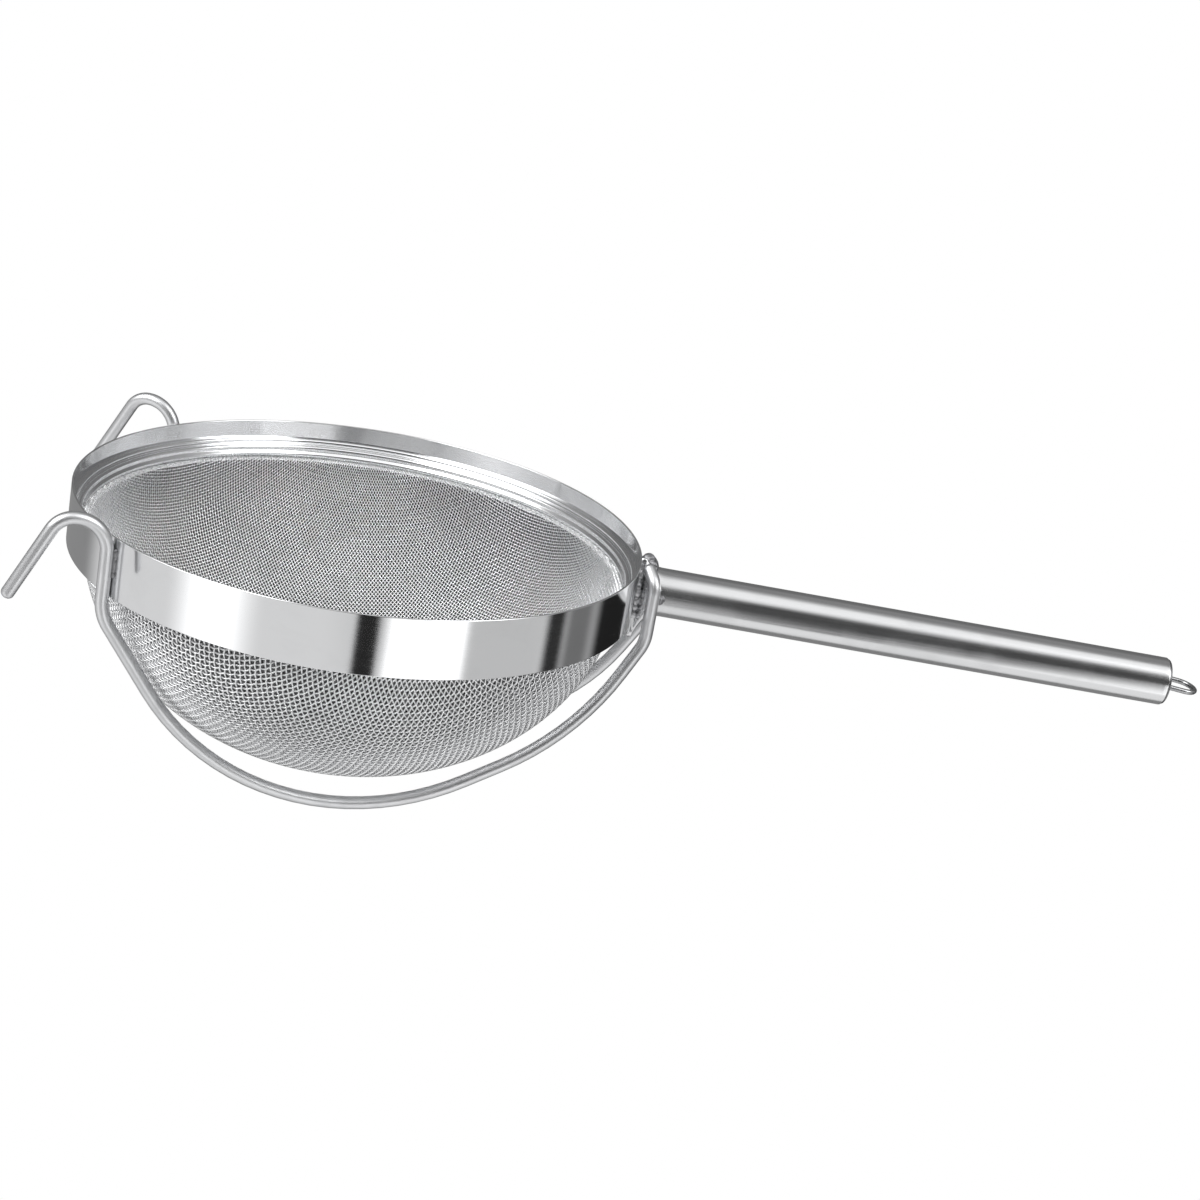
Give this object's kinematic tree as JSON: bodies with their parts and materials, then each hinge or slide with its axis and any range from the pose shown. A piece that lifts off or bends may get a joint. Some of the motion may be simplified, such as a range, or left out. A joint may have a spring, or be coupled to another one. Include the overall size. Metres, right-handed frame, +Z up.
{
  "type": "hooked bowl strainer",
  "caption": "Round-bottomed steel wire-mesh strainer with a tall mirror rim, two bent support wires ending in pot hooks, a tube handle and a wire hanging loop.",
  "frame": {"origin": "centre of the circle of the rim band's top edge", "axes": "+Z up out of the bowl's mouth, +X along the handle away from the bowl, +Y to the far hook's side"},
  "size_m": [0.4558, 0.22, 0.1145],
  "materials": {
    "mirror_steel": "mirror-polished stainless steel",
    "woven_steel": "woven stainless wire cloth",
    "drawn_wire": "bright drawn stainless wire",
    "satin_steel": "fine satin, brushed along the tube",
    "weld_steel": "lumpy weld metal, part bright and part dark"
  },
  "bodies": {
    "root": {"rim_band": "mirror_steel", "mesh_clamp_ring": "mirror_steel", "outer_mesh": "woven_steel", "inner_mesh": "woven_steel", "near_support_wire": "drawn_wire", "far_support_wire": "drawn_wire", "near_hook_weld": "weld_steel", "far_hook_weld": "weld_steel", "near_root_weld": "weld_steel", "far_root_weld": "weld_steel", "near_tip_weld": "weld_steel", "far_tip_weld": "weld_steel", "handle_tube": "satin_steel", "handle_band_weld": "weld_steel", "handle_end_cap": "satin_steel", "hanging_loop": "drawn_wire", "loop_weld": "weld_steel"}
  },
  "joints": []
}
